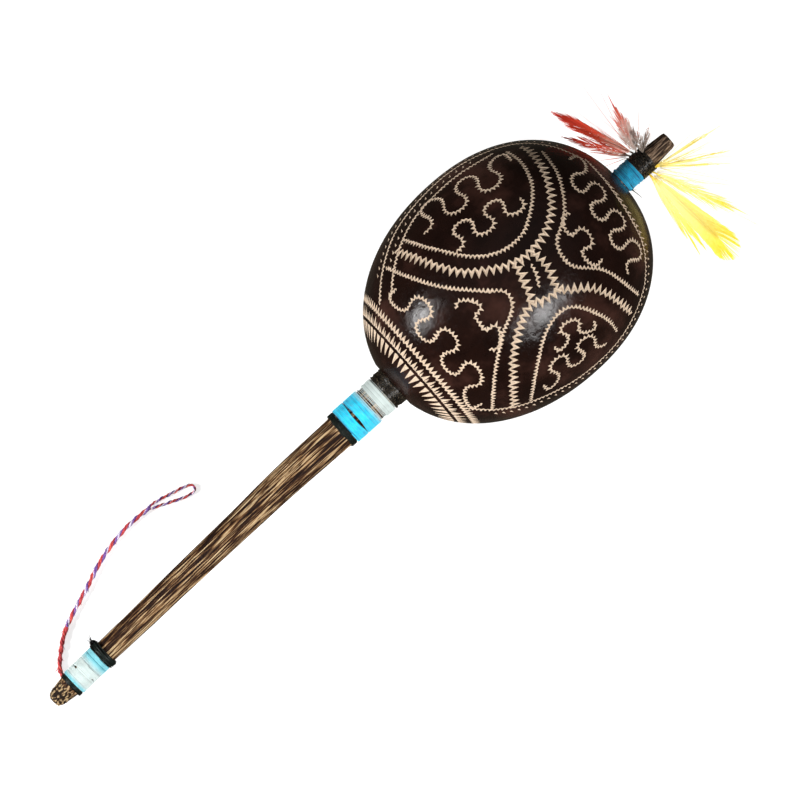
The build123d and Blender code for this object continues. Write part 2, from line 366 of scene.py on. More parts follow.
# --- engraving: every line is a zigzag cut along a path ---
def smooth_line(points, steps=24):
    """Catmull-Rom curve through the points."""
    points = np.asarray(points, float)
    padded = np.vstack([2 * points[0] - points[1], points, 2 * points[-1] - points[-2]])
    t = np.linspace(0, 1, steps, endpoint=False)[:, None]
    curve = []
    for a, b, c, d in zip(padded, padded[1:], padded[2:], padded[3:]):
        square, cube = 2 * a - 5 * b + 4 * c - d, 3 * b - a - 3 * c + d
        curve.append(0.5 * (2 * b + (c - a) * t + square * t**2 + cube * t**3))
    return np.vstack([*curve, points[-1:]])


PANEL_EDGE = 0.985  # share of the gourd's radius that a panel's drawing may reach


def panel_to_skin(points, panel):
    """Path drawn on the flat front view (along, across) laid on the skin of one of the two panels."""
    turn, mirror = panel
    along, across = np.asarray(points, float).T
    share = np.clip(across / skin_radius(along), -PANEL_EDGE, PANEL_EDGE)
    return skin_points(along, turn + mirror * np.arcsin(share))


LOOSENESS = 0.12  # how unevenly the hand that cut the lines worked
THINNEST_CUT = 0.08  # half width
strokes = []  # each is (centre points, half widths, depth, ends on the seam)


def cut_zigzag(points, pitch, swing, base, tip, depth, on_seam=False):
    """A zigzag cut along a path on the skin; base and tip are its half widths on the path's two sides."""
    halves = max(2, 2 * round(line_length(points) / pitch))
    points = spaced(points, halves)
    sides = np.cross(skin_normals(*skin_place(points)), tangents_of(points))
    sign = np.where(np.arange(halves + 1) % 2 == 0, 1.0, -1.0)
    loose = 0.0 if on_seam else LOOSENESS
    swings = sign * swing * (1 + chance.normal(0, loose, halves + 1))
    centre = points + sides * swings[:, None]
    widths = np.where(sign > 0, base, tip) * (1 + chance.normal(0, loose, halves + 1))
    strokes.append((centre, np.clip(widths, THINNEST_CUT, None), depth, on_seam))


def cut_wedge(start, end, base, depth):
    """One long triangular cut from its broad end to its point."""
    widths = np.array([base, base * 0.7, base * 0.4, 0.06])
    strokes.append((np.linspace(start, end, len(widths)), widths, depth, False))


def fine_line(points):
    cut_zigzag(points, pitch=1.7, swing=0.5, base=0.46, tip=0.2, depth=0.22)


def heavy_line(points):
    cut_zigzag(points, pitch=2.8, swing=1.2, base=0.72, tip=0.28, depth=0.4)


LOBE_HEADING = math.radians(105)  # how far a meander's heading swings to each side
LOBE_STEPS = 60  # points in each of its waves


def meander(guide, waves, swing, panel, phase):
    """Round lobes to both sides of a guide: a line whose heading swings like a sine."""
    wave = np.linspace(0, waves * TURN, int(waves * LOBE_STEPS))
    heading = LOBE_HEADING * np.cos(wave)
    run = np.cumsum(np.cos(heading))
    drift = np.cumsum(np.sin(heading))
    run = (run - run[0]) / (run[-1] - run[0])
    drift = drift - (drift.max() + drift.min()) / 2
    drift *= swing / np.abs(drift).max() * phase
    path = smooth_line(guide)
    places = distances(path)
    where = run * places[-1]
    tangents = sampled(tangents_of(path), places, where)
    across = np.column_stack([-tangents[:, 1], tangents[:, 0]])
    fine_line(panel_to_skin(sampled(path, places, where) + across * drift[:, None], panel))


HEAVY_BANDS = [
    [
        (36.5, -36.5), (37, -31), (34.5, -21), (28, -11), (20, -5.5), (10, -3), (-1, -5), (-14.5, -14),
        (-22, -25.5), (-28, -38.5),
    ],
    [(10, -3), (10.5, 6), (8.5, 15.5), (18.3, 23.3), (22.8, 32), (25, 41.5)],
    [(2, -4), (0.2, 3.6), (-3.3, 12.3)],
    [(8.5, 15.5), (2.5, 15), (-3.5, 12.8), (-11, 15), (-21, 22.2), (-28, 30), (-34.5, 38.5)],
]
FIELD_LINES = [
    [
        (30.5, -39), (31.2, -31.3), (27.7, -21.8), (20, -14.5), (11, -10), (1, -10.8), (-8.3, -16.6),
        (-17.8, -29.8), (-23.3, -40),
    ],
    [(41, -29.7), (38.2, -17.4), (29.7, -5.3), (19.5, 1.6), (18.2, 11.7), (27, 21.8), (32, 38)],
    [(-35.5, -36), (-31, -25.6), (-23.7, -13.8), (-11.8, -1.2)],
    [(-12.8, -2.5), (-8, 2.5), (-10, 8.6), (-19.8, 14.1), (-31.5, 23.2), (-41.5, 33.5)],
    [(-27.5, 41), (-17.6, 32.6), (-6.5, 24.7), (3.6, 22.4), (10, 26), (15.4, 36.2), (16, 43)],
    [(6.4, 1), (5.6, 5), (3, 9.5)],
]
# Each meander: its middle line, its number of waves, how far it swings, and to which side it swings first.
MEANDERS = [
    ([(29, -34.5), (6.5, -37.5), (-15, -41)], 2.75, 5.0, 1),
    ([(21, -21.5), (5, -24), (-11, -26.5)], 2.25, 4.6, -1),
    ([(46.5, -20), (43.8, -3.5), (42, 12), (38.5, 30)], 3.75, 4.8, -1),
    ([(31.5, -4), (27.5, 7), (29, 18)], 1.5, 4.2, 1),
    ([(-38, -27), (-38.5, -9.5), (-39.5, 8), (-41, 21), (-43, 29)], 3.5, 5.2, 1),
    ([(-26.5, -5.5), (-20, 3), (-21.5, 9), (-27, 15)], 1.5, 3.8, -1),
    ([(-7.5, 31), (1, 30), (11, 34)], 1.5, 3.2, 1),
    ([(-20, 39.5), (-9, 38.5), (10, 40.5)], 2.25, 3.4, 1),
]
BORDERS = [
    [
        (52, -16), (51.5, -2), (49, 15), (45, 27), (34, 38.5), (15, 46.3), (-7.5, 46.8), (-28, 41.3),
        (-40, 34.5), (-48, 27),
    ],
    [
        (51, -17), (46, -28), (37, -38), (24, -44.5), (8, -48), (-10, -47.3), (-25, -43.5), (-38, -35.5),
        (-47, -27),
    ],
    [(26, -42), (8, -44.8), (-10, -44), (-22, -40.5), (-33, -34), (-42, -26)],
]
MARKS_STEP = 3.2  # between the short cuts outside a border
MARK_REACH = (3.4, 5.4)  # how far outside the border they start and end


def engrave_panel(panel):
    for draw, lines in ((heavy_line, HEAVY_BANDS), (fine_line, FIELD_LINES)):
        for points in lines:
            draw(panel_to_skin(smooth_line(points), panel))
    for guide, waves, swing, phase in MEANDERS:
        meander(guide, waves, swing, panel, phase)
    for points in BORDERS:
        border = panel_to_skin(smooth_line(points), panel)
        fine_line(border)
        marks = spaced(border, round(line_length(border) / MARKS_STEP))
        along, around = skin_place(marks)
        outwards = np.sign(math.sin(around[len(around) // 2] - panel[0]))
        for spot, place_along in zip(around[3:-3], along[3:-3]):
            inner, outer = spot + outwards * np.array(MARK_REACH) / skin_radius(place_along)
            start, end = skin_points(place_along, inner), skin_points(place_along + 0.6, outer)
            cut_wedge(start, end, base=0.5, depth=0.25)


NECK_RING = -49.4
TRIANGLE_LINE = -54.6
TRIANGLE_SPACING = 3.1


def engrave_rings():
    """A zigzag all the way round, which meets itself on the seam, and triangles to both sides of a line."""
    ring = skin_points(NECK_RING, np.linspace(SEAM, SEAM + TURN, 1440))
    cut_zigzag(ring, pitch=2.0, swing=1.0, base=0.62, tip=0.2, depth=0.35, on_seam=True)
    for offset, length, base in ((-0.5, -3.7, 1.1), (0.5, 3.0, 0.9)):
        line = TRIANGLE_LINE + offset
        radius = skin_radius(line)
        count = round(TURN * radius / TRIANGLE_SPACING)
        for around in SEAM + TURN * (np.arange(count) + 0.5) / count:
            sway = chance.normal(0, 0.3) / radius
            end = skin_points(line + length * chance.uniform(0.85, 1.1), around + sway)
            cut_wedge(skin_points(line, around), end, base, depth=0.35)
            if offset > 0:
                tooth, tooth_end = around + 1.5 / radius, around + 1.2 / radius
                cut_wedge(skin_points(line, tooth), skin_points(line + 2.0, tooth_end), 0.6, depth=0.25)


SHARPEST_MITRE = 0.36  # a sharper corner's edges are cut short


def stroke_edges(centre, widths, on_seam):
    """Points on the two edges of a stroke, mitred at its corners."""
    normals = skin_normals(*skin_place(centre))
    runs = unit(np.diff(centre, axis=0))
    arriving = np.vstack([runs[:1], runs])
    leaving = np.vstack([runs, runs[-1:]])
    if on_seam:
        arriving[0] = runs[-1]
        leaving[-1] = runs[0]
    mitre = np.cross(normals, arriving) + np.cross(normals, leaving)
    reach = widths / np.clip(np.linalg.norm(mitre, axis=1) / 2, SHARPEST_MITRE, 1)
    offset = unit(mitre) * reach[:, None]
    return centre + offset, centre - offset


def to_map(points, near, whole_turn):
    """Flat map of the skin: distance along the outline, and around times the gourd's radius."""
    along, around = skin_place(points)
    around = near + wrapped(around - near)
    if whole_turn:
        around[0] = SEAM
        around[-1] = SEAM + TURN
    around = np.clip(around, SEAM, SEAM + TURN)
    distance = np.interp(along, outline_along, outline_arc)
    return np.column_stack([distance, around * GOURD_RADIUS])


SKIN_GRID = 2.4  # spacing of the plain skin's points
RIM_POINTS = 96
SEAM_POINTS = 72
SAMPLE_STEP = 0.15  # between the places at which a stroke's depth is looked up
MERGE = 1e-5  # points of the flat map closer than this become one
RIM_WELD = 0.004  # joins the skin's rims to those of the inside


def gourd_skin():
    """Points and faces of the engraved skin, and which faces are cut."""
    flat, quads, lines = [], [], []
    samples, sample_sizes = [], []
    for centre, widths, depth, on_seam in strokes:
        left, right = stroke_edges(centre, widths, on_seam)
        start = len(flat)
        count = len(centre)
        near = np.linspace(SEAM, SEAM + TURN, count) if on_seam else skin_place(centre[:1])[1]
        for part in (left, right, centre):
            flat.extend(to_map(part, near, on_seam))
        for k in range(count - 1):
            quads.append((start + k, start + k + 1, start + count + k + 1, start + count + k))
            lines.append((start + 2 * count + k, start + 2 * count + k + 1))
        inner = slice(None) if on_seam else slice(1, -1)
        dense = spaced(centre, max(2, round(line_length(centre) / SAMPLE_STEP)))
        samples.append(dense[inner])
        sizes = np.column_stack([widths, np.full(count, depth)])
        sizes = sampled(sizes, np.linspace(0, 1, count), np.linspace(0, 1, len(dense)))
        sample_sizes.append(sizes[inner])
    samples = np.vstack(samples)
    sample_sizes = np.vstack(sample_sizes)
    tree = KDTree(len(samples))
    for index, point in enumerate(samples):
        tree.insert(point, index)
    tree.balance()

    low, high = SEAM * GOURD_RADIUS, (SEAM + TURN) * GOURD_RADIUS
    top = outline_arc[-1]
    rim = np.linspace(low, high, RIM_POINTS + 1)
    rise = np.linspace(0, top, SEAM_POINTS + 1)
    rows = round(top / SKIN_GRID)
    columns = round((high - low) / SKIN_GRID)
    flat += [(u, v) for u in (0, top) for v in rim]
    flat += [(u, v) for v in (low, high) for u in rise[1:-1]]
    for row in range(1, rows):
        shift = 0.5 + 0.25 * (row % 2)
        flat += [(row * top / rows, low + (k + shift) * (high - low) / columns) for k in range(columns)]
    flat = [Vector(p) for p in flat]
    found, _, faces, _, _, face_sources = delaunay_2d_cdt(flat, lines, quads, 0, MERGE)
    found = np.array([tuple(p) for p in found])
    along = np.interp(found[:, 0], outline_arc, outline_along)
    around = found[:, 1] / GOURD_RADIUS
    surface_points = skin_points(along, around)
    cut = np.array([bool(source) for source in face_sources])
    touched = np.zeros(len(found), bool)
    for face, is_cut in zip(faces, cut):
        if is_cut:
            touched[list(face)] = True
    depths = np.zeros(len(found))
    for index in np.nonzero(touched)[0]:
        _, nearest, distance = tree.find(surface_points[index])
        width, depth = sample_sizes[nearest]
        depths[index] = depth * max(0.0, 1 - distance / width)
    return skin_points(along, around, depths), faces, cut


def make_gourd(skin_material, cut_material, inner_material):
    for panel in ((0.0, 1), (math.pi, -1)):
        engrave_panel(panel)
    engrave_rings()
    points, faces, cut = gourd_skin()
    picks = list(cut.astype(int))
    # The flat base, the inside and the two holes are rings of the same count as the skin's rims;
    # the base has the skin's finish.
    inner_start = angle_at_radius(NECK_HOLE, GOURD_WALL, NECK_ROUNDNESS)
    inner_end = math.pi - angle_at_radius(CROWN_HOLE, GOURD_WALL, CROWN_ROUNDNESS)
    inner = outline(np.linspace(inner_start, inner_end, 48), GOURD_WALL)
    profile = [(outline_along[0], outline_radius[0]), (outline_along[0], NECK_HOLE)]
    profile += list(zip(*inner)) + [(outline_along[-1], outline_radius[-1])]
    around = np.linspace(SEAM, SEAM + TURN, RIM_POINTS, endpoint=False)
    out = circle(around, facing, aside)
    rings = [gourd_place + along * gourd_along + radius * out for along, radius in profile]
    inside_faces = grid_faces(len(profile), RIM_POINTS, offset=len(points))
    points = np.vstack([points, *rings])
    faces = list(faces) + inside_faces
    picks += [0] * RIM_POINTS + [2] * (len(inside_faces) - RIM_POINTS)
    materials = [skin_material, cut_material, inner_material]
    made = new_piece("gourd", "gourd_shell", points, faces, materials, picks=picks)
    bm = bmesh.new()
    bm.from_mesh(made.data)
    rim = [v for e in bm.edges if e.is_boundary for v in e.verts]
    bmesh.ops.remove_doubles(bm, verts=list(set(rim)), dist=RIM_WELD * MM)
    bmesh.ops.dissolve_degenerate(bm, edges=bm.edges, dist=1e-8)
    bmesh.ops.recalc_face_normals(bm, faces=bm.faces)
    bm.to_mesh(made.data)
    bm.free()
    shade_gourd(made.data)


def shade_gourd(mesh):
    """The skin keeps the smooth gourd's own normals, so that it shines evenly beside the cuts."""
    count = len(mesh.vertices)
    points = np.zeros(count * 3)
    mesh.vertices.foreach_get("co", points)
    along, around = skin_place(points.reshape(-1, 3) / MM)
    smooth = skin_normals(along, around)
    normals = np.zeros((len(mesh.loops), 3))
    for polygon in mesh.polygons:
        polygon.use_smooth = True
        for loop in polygon.loop_indices:
            if polygon.material_index == 0:
                normals[loop] = smooth[mesh.loops[loop].vertex_index]
            else:
                normals[loop] = polygon.normal
    mesh.normals_split_custom_set([tuple(n) for n in normals])


def gourd_skin_material():
    """Smoked, waxed rind: nearly black brown, shiny, with the fine mottling of leather."""
    material, tree = new_material("gourd_rind")
    place = place_mm(tree)
    patches = noise(tree, place, 0.045, 4, 0.6)
    colour = ramp(
        tree, patches,
        (0.32, 0.0032, 0.0010, 0.0006), (0.50, 0.008, 0.0027, 0.0018), (0.70, 0.036, 0.014, 0.010),
    )
    pores = noise(tree, place, 2.6, 3, 0.65)
    colour = mixed(tree, maths(tree, "MULTIPLY", pores, 0.08), colour, (0.05, 0.026, 0.020))
    mottle = noise(tree, place, 0.8, 5, 0.65)
    rough = ramp(tree, mottle, (0.35, 0.10, 0.10, 0.10), (0.65, 0.25, 0.25, 0.25))
    normal = bump(tree, noise(tree, place, 0.10, 2), 0.4, 1.2)
    normal = bump(tree, mottle, 0.6, 0.2, normal)
    normal = bump(tree, pores, 0.3, 0.05, normal)
    surface(tree, Base_Color=colour, Roughness=rough, Normal=normal, Specular_IOR_Level=0.14)
    return material


def engraving_material():
    """Bare woody flesh in the cuts, cream with tan and grey fibres."""
    material, tree = new_material("engraved_cream")
    place = place_mm(tree)
    fibres = noise(tree, place, 1.6, 4, 0.7)
    colour = ramp(
        tree, fibres,
        (0.25, 0.29, 0.20, 0.13), (0.5, 0.52, 0.40, 0.29), (0.75, 0.66, 0.54, 0.42),
    )
    surface(tree, Base_Color=colour, Roughness=0.75, Normal=bump(tree, fibres, 0.5, 0.08))
    return material


def gourd_inside_material():
    material, tree = new_material("gourd_inside")
    place = place_mm(tree)
    flesh = noise(tree, place, 0.7, 5, 0.65)
    colour = ramp(tree, flesh, (0.3, 0.20, 0.13, 0.08), (0.7, 0.42, 0.31, 0.21))
    surface(tree, Base_Color=colour, Roughness=0.85, Normal=bump(tree, flesh, 0.6, 0.3))
    return material


make_gourd(gourd_skin_material(), engraving_material(), gourd_inside_material())


# --- the palm-wood stick ---
STICK_PROFILE = [
    (0.0, 1.4), (0.5, 2.5), (1.3, 3.15), (2.4, 3.65), (4.0, 4.05), (6.6, 4.5), (8.4, 4.75), (9.2, 4.95),
    (29.4, 5.0), (47.6, 5.25), (86.0, 5.75), (105.2, 6.05), (115.2, 6.3), (128.5, 6.65), (141.9, 6.9),
    (155.2, 7.05), (158.0, 7.3), (177.0, 7.4), (181.0, 7.2), (190.0, 7.1), (300.0, 4.5), (321.2, 4.5),
    (331.4, 3.6), (332.2, 3.1),
]
STICK_LENGTH = 332.4
STICK_SIDES = 128
SHAVED_GROOVES = 46
TAIL_END, GOURD_START, PEG_START = 9.4, 190.0, 300.0  # stations where the spacing of its rings changes
CARVED_TAIL, CARVED_PEG = 4.0, 330.0  # outside these its surface is chipped
SPECKLED_TAIL, PALER_PEG = 7.6, 250.0  # up to the one the grain is cut across, and past the other it is paler


def stick_stations():
    """Rings close together where the stick is seen, and far apart inside the gourd."""
    tail = np.arange(0.2, TAIL_END, 0.35)
    handle = np.arange(TAIL_END, GOURD_START, 1.1)
    hidden = np.arange(GOURD_START, PEG_START, 8.0)
    peg = np.arange(PEG_START, STICK_LENGTH, 0.8)
    return np.concatenate([tail, handle, hidden, peg, [STICK_LENGTH - 0.15]])


def shaved_surface(stations):
    """Radius of the stick all round: flats left by the knife, and grooves between its fibre bundles."""
    around = np.linspace(0, TURN, STICK_SIDES, endpoint=False)
    s, a = stations[:, None], around[None, :]
    radius = np.interp(s, *zip(*STICK_PROFILE)) + 0 * a
    for turns, wander, size in ((5, 0.4, 0.05), (7, -0.9, 0.05), (11, 0.6, 0.03)):
        radius += size * (np.sin(turns * a + wander * np.sin(s / 37) + s * 0.013 * turns) - 1)
    for _ in range(SHAVED_GROOVES):
        middle, reach = chance.uniform(0, STICK_LENGTH), chance.uniform(15, 60)
        place, width = chance.uniform(0, TURN), chance.uniform(0.05, 0.11)
        lean, depth = chance.normal(0, 0.0008), chance.uniform(0.10, 0.32)
        off = wrapped(a - place - lean * (s - middle))
        run = np.clip(1 - ((s - middle) / reach) ** 2, 0, 1)
        radius -= depth * np.exp(-((off / width) ** 2)) * np.sqrt(run)
    return around, radius


def make_stick(material):
    stations = stick_stations()
    around, radius = shaved_surface(stations)
    chips = chance.normal(0, 0.12, radius.shape)
    carved = (stations < CARVED_TAIL) | (stations > CARVED_PEG)
    radius += np.where(carved[:, None], chips, chips * 0.08)
    rings = [round_stick(s, around, r) for s, r in zip(stations, radius)]
    ends = [axis_frame(0.0)[0], axis_frame(STICK_LENGTH)[0]]
    points = np.vstack([*rings, ends])
    faces = grid_faces(len(stations), STICK_SIDES)
    first, last = len(points) - 2, len(points) - 1
    top = (len(stations) - 1) * STICK_SIDES
    for k in range(STICK_SIDES):
        following = (k + 1) % STICK_SIDES
        faces += [(following, k, first), (top + k, top + following, last)]
    # Where each point is in the straight stick: along it, and across it two ways.
    grain = np.stack([stations[:, None] + 0 * radius, radius * np.cos(around), radius * np.sin(around)], -1)
    grain = np.vstack([grain.reshape(-1, 3), [[0, 0, 0], [STICK_LENGTH, 0, 0]]])
    new_piece("palm_wood_stick", "palm_stick", points, faces, [material], attributes={"grain": grain})


def palm_wood_material():
    """Dark palm wood with long pale fibre bundles; the ends show them as speckles."""
    material, tree = new_material("palm_wood")
    grain = attribute(tree, "grain", "Vector")
    parts = node(tree, "ShaderNodeSeparateXYZ", {0: grain}).outputs

    def streaks(length, width, detail, roughness=0.5):
        sockets = {0: grain, 1: (1 / length, 1 / width, 1 / width)}
        scaled = node(tree, "ShaderNodeVectorMath", sockets, operation="MULTIPLY")
        return noise(tree, scaled.outputs["Vector"], 1.0, detail, roughness)

    bundles = streaks(17, 0.66, 2)
    fibres = streaks(8, 0.30, 3, 0.6)
    broad = streaks(38, 4.0, 2)
    edges = streaks(30, 1.0, 1)
    sides = maths(tree, "MULTIPLY", parts["Y"], parts["Y"])  # painted shade: the wood is darker towards the two sides than on top, where less light falls
    mix = weighted(tree, (bundles, 0.68), (fibres, 0.38), (broad, 0.20), (sides, -0.0009))
    mix = maths(tree, "SUBTRACT", mix, 0.138)
    handle = ramp(
        tree, mix,
        (0.42, 0.012, 0.004, 0.002), (0.475, 0.036, 0.013, 0.005), (0.505, 0.13, 0.060, 0.022),
        (0.54, 0.33, 0.195, 0.090), (0.62, 0.60, 0.45, 0.26),
    )
    crevice = maths(tree, "ABSOLUTE", maths(tree, "SUBTRACT", edges, 0.5))
    crevice = ramp(tree, crevice, (0.0, 0.08, 0.05, 0.03), (0.026, 1, 1, 1))
    handle = mixed(tree, 1.0, handle, crevice, "MULTIPLY")
    peg = ramp(
        tree, mix, (0.42, 0.014, 0.008, 0.005), (0.51, 0.10, 0.060, 0.038), (0.62, 0.36, 0.25, 0.165)
    )
    end_grain = ramp(
        tree, streaks(1.5, 0.85, 1),
        (0.47, 0.012, 0.006, 0.003), (0.53, 0.11, 0.060, 0.028), (0.60, 0.42, 0.30, 0.16),
    )
    at_peg = maths(tree, "GREATER_THAN", parts["X"], PALER_PEG)
    at_tail = maths(tree, "LESS_THAN", parts["X"], SPECKLED_TAIL)
    colour = mixed(tree, at_tail, mixed(tree, at_peg, handle, peg), end_grain)
    normal = bump(tree, weighted(tree, (mix, 1.0), (fibres, 0.5)), 0.9, 0.4)
    surface(tree, Base_Color=colour, Roughness=0.55, Specular_IOR_Level=0.12, Normal=normal)
    return material


# --- thread windings: every turn is a thread ---
THREAD_STEPS = 44  # points in each turn
THREAD_SIDES = 6


def camera_around(station):
    """Where around the stick the side that faces the camera is."""
    _, _, side, up = axis_frame(station)
    return math.atan2(to_camera @ up, to_camera @ side)


def wobble(count, size, spacing):
    """A smooth random curve of count values."""
    knots = chance.normal(0, size, count // spacing + 3)
    return np.interp(np.arange(count) / spacing, np.arange(len(knots)), knots)


def thread_tube(stations, around, radii, thickness):
    """Points, faces and painted shade of a round thread that runs round the stick through the given places; the
    shade is lighter on the crest that faces out and darker towards the stick.
    """
    section = np.linspace(0, TURN, THREAD_SIDES, endpoint=False)
    points = []
    for s, a, r, t in zip(stations, around, radii, thickness):
        place, along, side, up = axis_frame(s)
        out = circle(a, side, up)
        points.append(place + r * out + t / 2 * circle(section, out, along))
    points = np.vstack(points)
    faces = grid_faces(len(stations), THREAD_SIDES)
    faces.append(tuple(range(THREAD_SIDES)))
    faces.append(tuple(range(len(points) - 1, len(points) - 1 - THREAD_SIDES, -1)))
    return points, faces, np.tile(np.cos(section), len(stations))


def join(pieces):
    """One mesh from several, each its points and faces first."""
    points, faces, offset = [], [], 0
    for some_points, some_faces, *_ in pieces:
        points.append(some_points)
        faces.extend(tuple(index + offset for index in face) for face in some_faces)
        offset += len(some_points)
    return np.vstack(points), faces


def wound_thread(start, end, outer, thread, spacing=1.03, rough=0.05, part=None, slant=1):
    """A thread wound from start to end; part moves its places aside where the turns are parted.
    Its painted shade, lighter on each turn's crest, also carries the tone that changes from turn to turn."""
    turns = max(1, (end - start - thread) / (thread * spacing))
    count = round(turns * THREAD_STEPS)
    share = np.linspace(0, 1, count + 1)
    around = slant * TURN * turns * share + start
    stations = start + thread / 2 + (end - start - thread) * share
    stations = stations + wobble(count + 1, rough * thread, 17) * np.sin(math.pi * share) ** 0.25
    stations = np.clip(stations, start + thread * 0.4, end - thread * 0.4)
    if part is not None:
        stations = part(stations, around)
    thickness = thread * (1 + wobble(count + 1, 0.05, 9))
    radii = outer - thread / 2 - np.abs(wobble(count + 1, rough * thread, 13))
    points, faces, shade_and_tone = thread_tube(stations, around, radii, thickness)
    tone = np.minimum(0.25, wobble(count + 1, 0.38, THREAD_STEPS))
    return points, faces, shade_and_tone + np.repeat(tone, THREAD_SIDES)


def crossing_turns(start, end, outer, thread, count):
    """Single turns that slant across the others, each at its own tilt."""
    turns = []
    for _ in range(count):
        middle = chance.uniform(start + thread, end - thread)
        tilt = min(middle - start, end - middle) - thread * 0.5
        around = np.linspace(0, TURN * 1.02, THREAD_STEPS) + chance.uniform(0, TURN)
        stations = middle + tilt * np.sin(around + chance.uniform(0, TURN))
        radii = outer - thread / 2 + chance.uniform(-0.4, 0) * thread
        radii = np.minimum(radii + wobble(THREAD_STEPS, 0.1 * thread, 9), outer - thread * 0.4)
        turns.append(thread_tube(stations, around, radii, [thread] * THREAD_STEPS))
    return turns


def core_sleeve(start, end, inner, outer, part=None, ground=-1.0):
    """What the turns lie on: earlier turns, seen between them; ground is the painted shade that darkens them
    there, from -1 for dark.
    """
    sides = 72
    around = np.linspace(0, TURN, sides, endpoint=False)
    rings = []
    for s, r in ((start, inner), (start, outer), (end, outer), (end, inner)):
        stations = np.full(sides, float(s))
        if part is not None:
            stations = part(stations, around)
        rings.append(np.vstack([round_stick(x, a, r) for x, a in zip(stations, around)]))
    return np.vstack(rings), grid_faces(4, sides, closed_rows=True), np.full(4 * sides, ground)


FADING = [(11.8, 0), (13.4, 1), (20.0, 1), (23.2, 0), (169.8, 0), (172.0, 0.7)]  # station, share of white


def winding(node_name, material, pieces):
    """A piece of several threads and sleeves; painted shade makes the top of each turn lighter than the ground
    between, and pale is how far the thread has faded to white, by its station."""
    points, faces = join(pieces)
    shade_and_tone = np.concatenate([piece[2] for piece in pieces])
    tail_tip, along, _, _ = axis_frame(0.0)
    pale = np.interp((points - tail_tip) @ along, *zip(*FADING))
    pale = np.clip(pale + chance.normal(0, 0.08, len(pale)), 0, 1)
    attributes = {"shade_and_tone": shade_and_tone, "pale": pale}
    new_piece(node_name + "_thread", node_name, points, faces, [material], attributes=attributes)


def parted_turns(middle, half_gap, half_span, reach, turned=0.09):
    """Moves turns near a station apart, in a lens-shaped gap turned from the side that faces the camera."""
    centre = camera_around(middle) + turned

    def part(stations, around):
        opening = half_gap * np.clip(1 - (wrapped(around - centre) / half_span) ** 2, 0, 1)
        side = np.where(stations > middle, 1.0, -1.0)
        nearness = np.clip(1 - np.abs(stations - middle) / reach, 0, 1)
        return stations + side * opening * nearness

    return part


def uneven_edge(stations, around):
    """Moves the edges of the smeared pitch in and out round the stick."""
    return stations + 0.22 * np.sin(3 * around + stations) + 0.13 * np.sin(8 * around - 2 * stations)


RESIN_EDGE = 0.4  # rounding of the pitch band's edges


def make_neck(blue, white, black, resin):
    resin_band = core_sleeve(156.5, 159.3, RESIN_BORE, 7.85, uneven_edge)
    made = new_piece("neck_resin", "neck_resin_band", *join([resin_band]), [resin])
    bevel = made.modifiers.new("bevel", "BEVEL")
    bevel.width = RESIN_EDGE * MM
    bevel.segments = 3
    bevel.limit_method = "ANGLE"
    part = parted_turns(middle=164.9, half_gap=0.62, half_span=0.85, reach=3.6)
    winding("neck_winding_blue", blue, [
        core_sleeve(159.5, 164.85, NECK_BORE, 7.9, part),
        core_sleeve(164.95, 171.9, NECK_BORE, 7.9, part),
        wound_thread(159.4, 164.9, 8.2, 0.40, part=part),
        wound_thread(164.9, 172.0, 8.2, 0.40, part=part),
    ])
    winding("neck_winding_fine", white, [
        wound_thread(172.0, 172.9, 7.95, 0.26, spacing=1.5, rough=0.3),
        wound_thread(172.9, 174.6, 7.7, 0.22, spacing=2.2, rough=0.5),
        core_sleeve(174.7, 176.4, NECK_BORE, 7.7, ground=0.0),
        wound_thread(174.6, 176.4, 8.1, 0.36),
    ])
    winding("neck_winding_white", white, [
        core_sleeve(176.4, 179.2, NECK_BORE, 7.9, ground=0.0),
        wound_thread(176.4, 179.2, 8.15, 0.36),
        wound_thread(179.1, 179.7, 7.85, 0.24, spacing=1.4, rough=0.3),
    ])
    winding("neck_winding_black", black, [
        core_sleeve(179.8, 184.9, NECK_BORE, 7.7),
        wound_thread(179.7, 185.0, 7.95, 0.62, rough=0.4),
        *crossing_turns(179.7, 185.0, 8.3, 0.5, 16),
    ])


def make_tail(fading, black):
    winding("tail_winding_black_lower", black, [
        core_sleeve(9.3, 11.1, TAIL_BORE, 5.3),
        wound_thread(9.2, 11.2, 5.6, 0.5, rough=0.1),
    ])
    winding("tail_winding_cyan_lower", fading, [
        core_sleeve(11.3, 13.2, TAIL_BORE, 5.45, ground=-0.2),
        wound_thread(11.2, 13.2, 5.7, 0.34),
    ])
    left_gap = parted_turns(middle=16.3, half_gap=0.5, half_span=0.2, reach=1.4, turned=-0.85)
    right_gap = parted_turns(middle=17.4, half_gap=0.45, half_span=0.16, reach=1.4, turned=0.95)
    winding("tail_winding_white", fading, [
        core_sleeve(13.2, 16.29, TAIL_BORE, 5.5, left_gap, 0.0),
        core_sleeve(16.31, 17.39, TAIL_BORE, 5.5, left_gap, 0.0),
        core_sleeve(17.41, 20.4, TAIL_BORE, 5.5, right_gap, 0.0),
        wound_thread(13.2, 16.45, 5.7, 0.36, part=left_gap),
        wound_thread(16.15, 17.55, 5.7, 0.36, part=left_gap),
        wound_thread(17.25, 20.4, 5.7, 0.36, part=right_gap),
    ])
    winding("tail_winding_cyan_upper", fading, [
        core_sleeve(20.4, 25.5, TAIL_BORE, 5.45, ground=-0.2),
        wound_thread(20.4, 25.6, 5.7, 0.36),
    ])
    winding("tail_winding_black_upper", black, [
        core_sleeve(25.7, 29.1, TAIL_BORE, 5.8),
        wound_thread(25.6, 29.2, 6.0, 0.6, rough=0.2),
        *crossing_turns(25.6, 29.2, 6.3, 0.44, 7),
    ])


